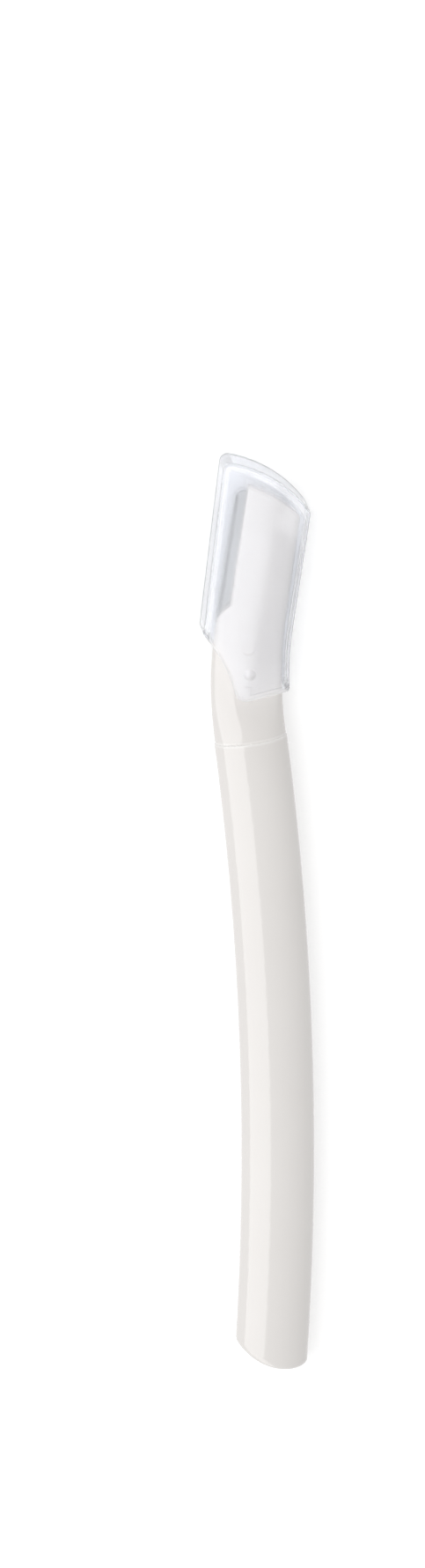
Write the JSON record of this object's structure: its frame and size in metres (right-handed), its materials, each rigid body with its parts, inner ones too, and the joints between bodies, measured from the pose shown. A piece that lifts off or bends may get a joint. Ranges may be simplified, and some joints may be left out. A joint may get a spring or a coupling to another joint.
{
  "type": "eyebrow razor",
  "caption": "Slim eyebrow razor with a gently bowed grip, a leaning thin head that holds a steel blade behind a fine comb guard, and a clear pull-off cap.",
  "frame": {"origin": "on the surface the razor lies on, under the middle of its bounding box, cap on", "axes": "+Z out of the razor's front, +Y along the razor towards its head, and the cutting edge faces -X"},
  "size_m": [0.0156, 0.1302, 0.0066],
  "materials": {
    "white_plastic": "glossy warm white moulding",
    "steel": "fine brushed stainless steel",
    "clear_plastic": "clear polystyrene with a faint lavender tint"
  },
  "bodies": {
    "razor": {"grip": "white_plastic", "blade_carrier": "white_plastic", "blade": "steel", "guard_comb": "steel"},
    "cap": {"cap": "clear_plastic"}
  },
  "joints": [
    {"name": "cap_slide", "type": "slide", "parent": "razor", "child": "cap", "axis": [0.1495, 0.9888, 0], "range_m": [0, 0.04]}
  ]
}
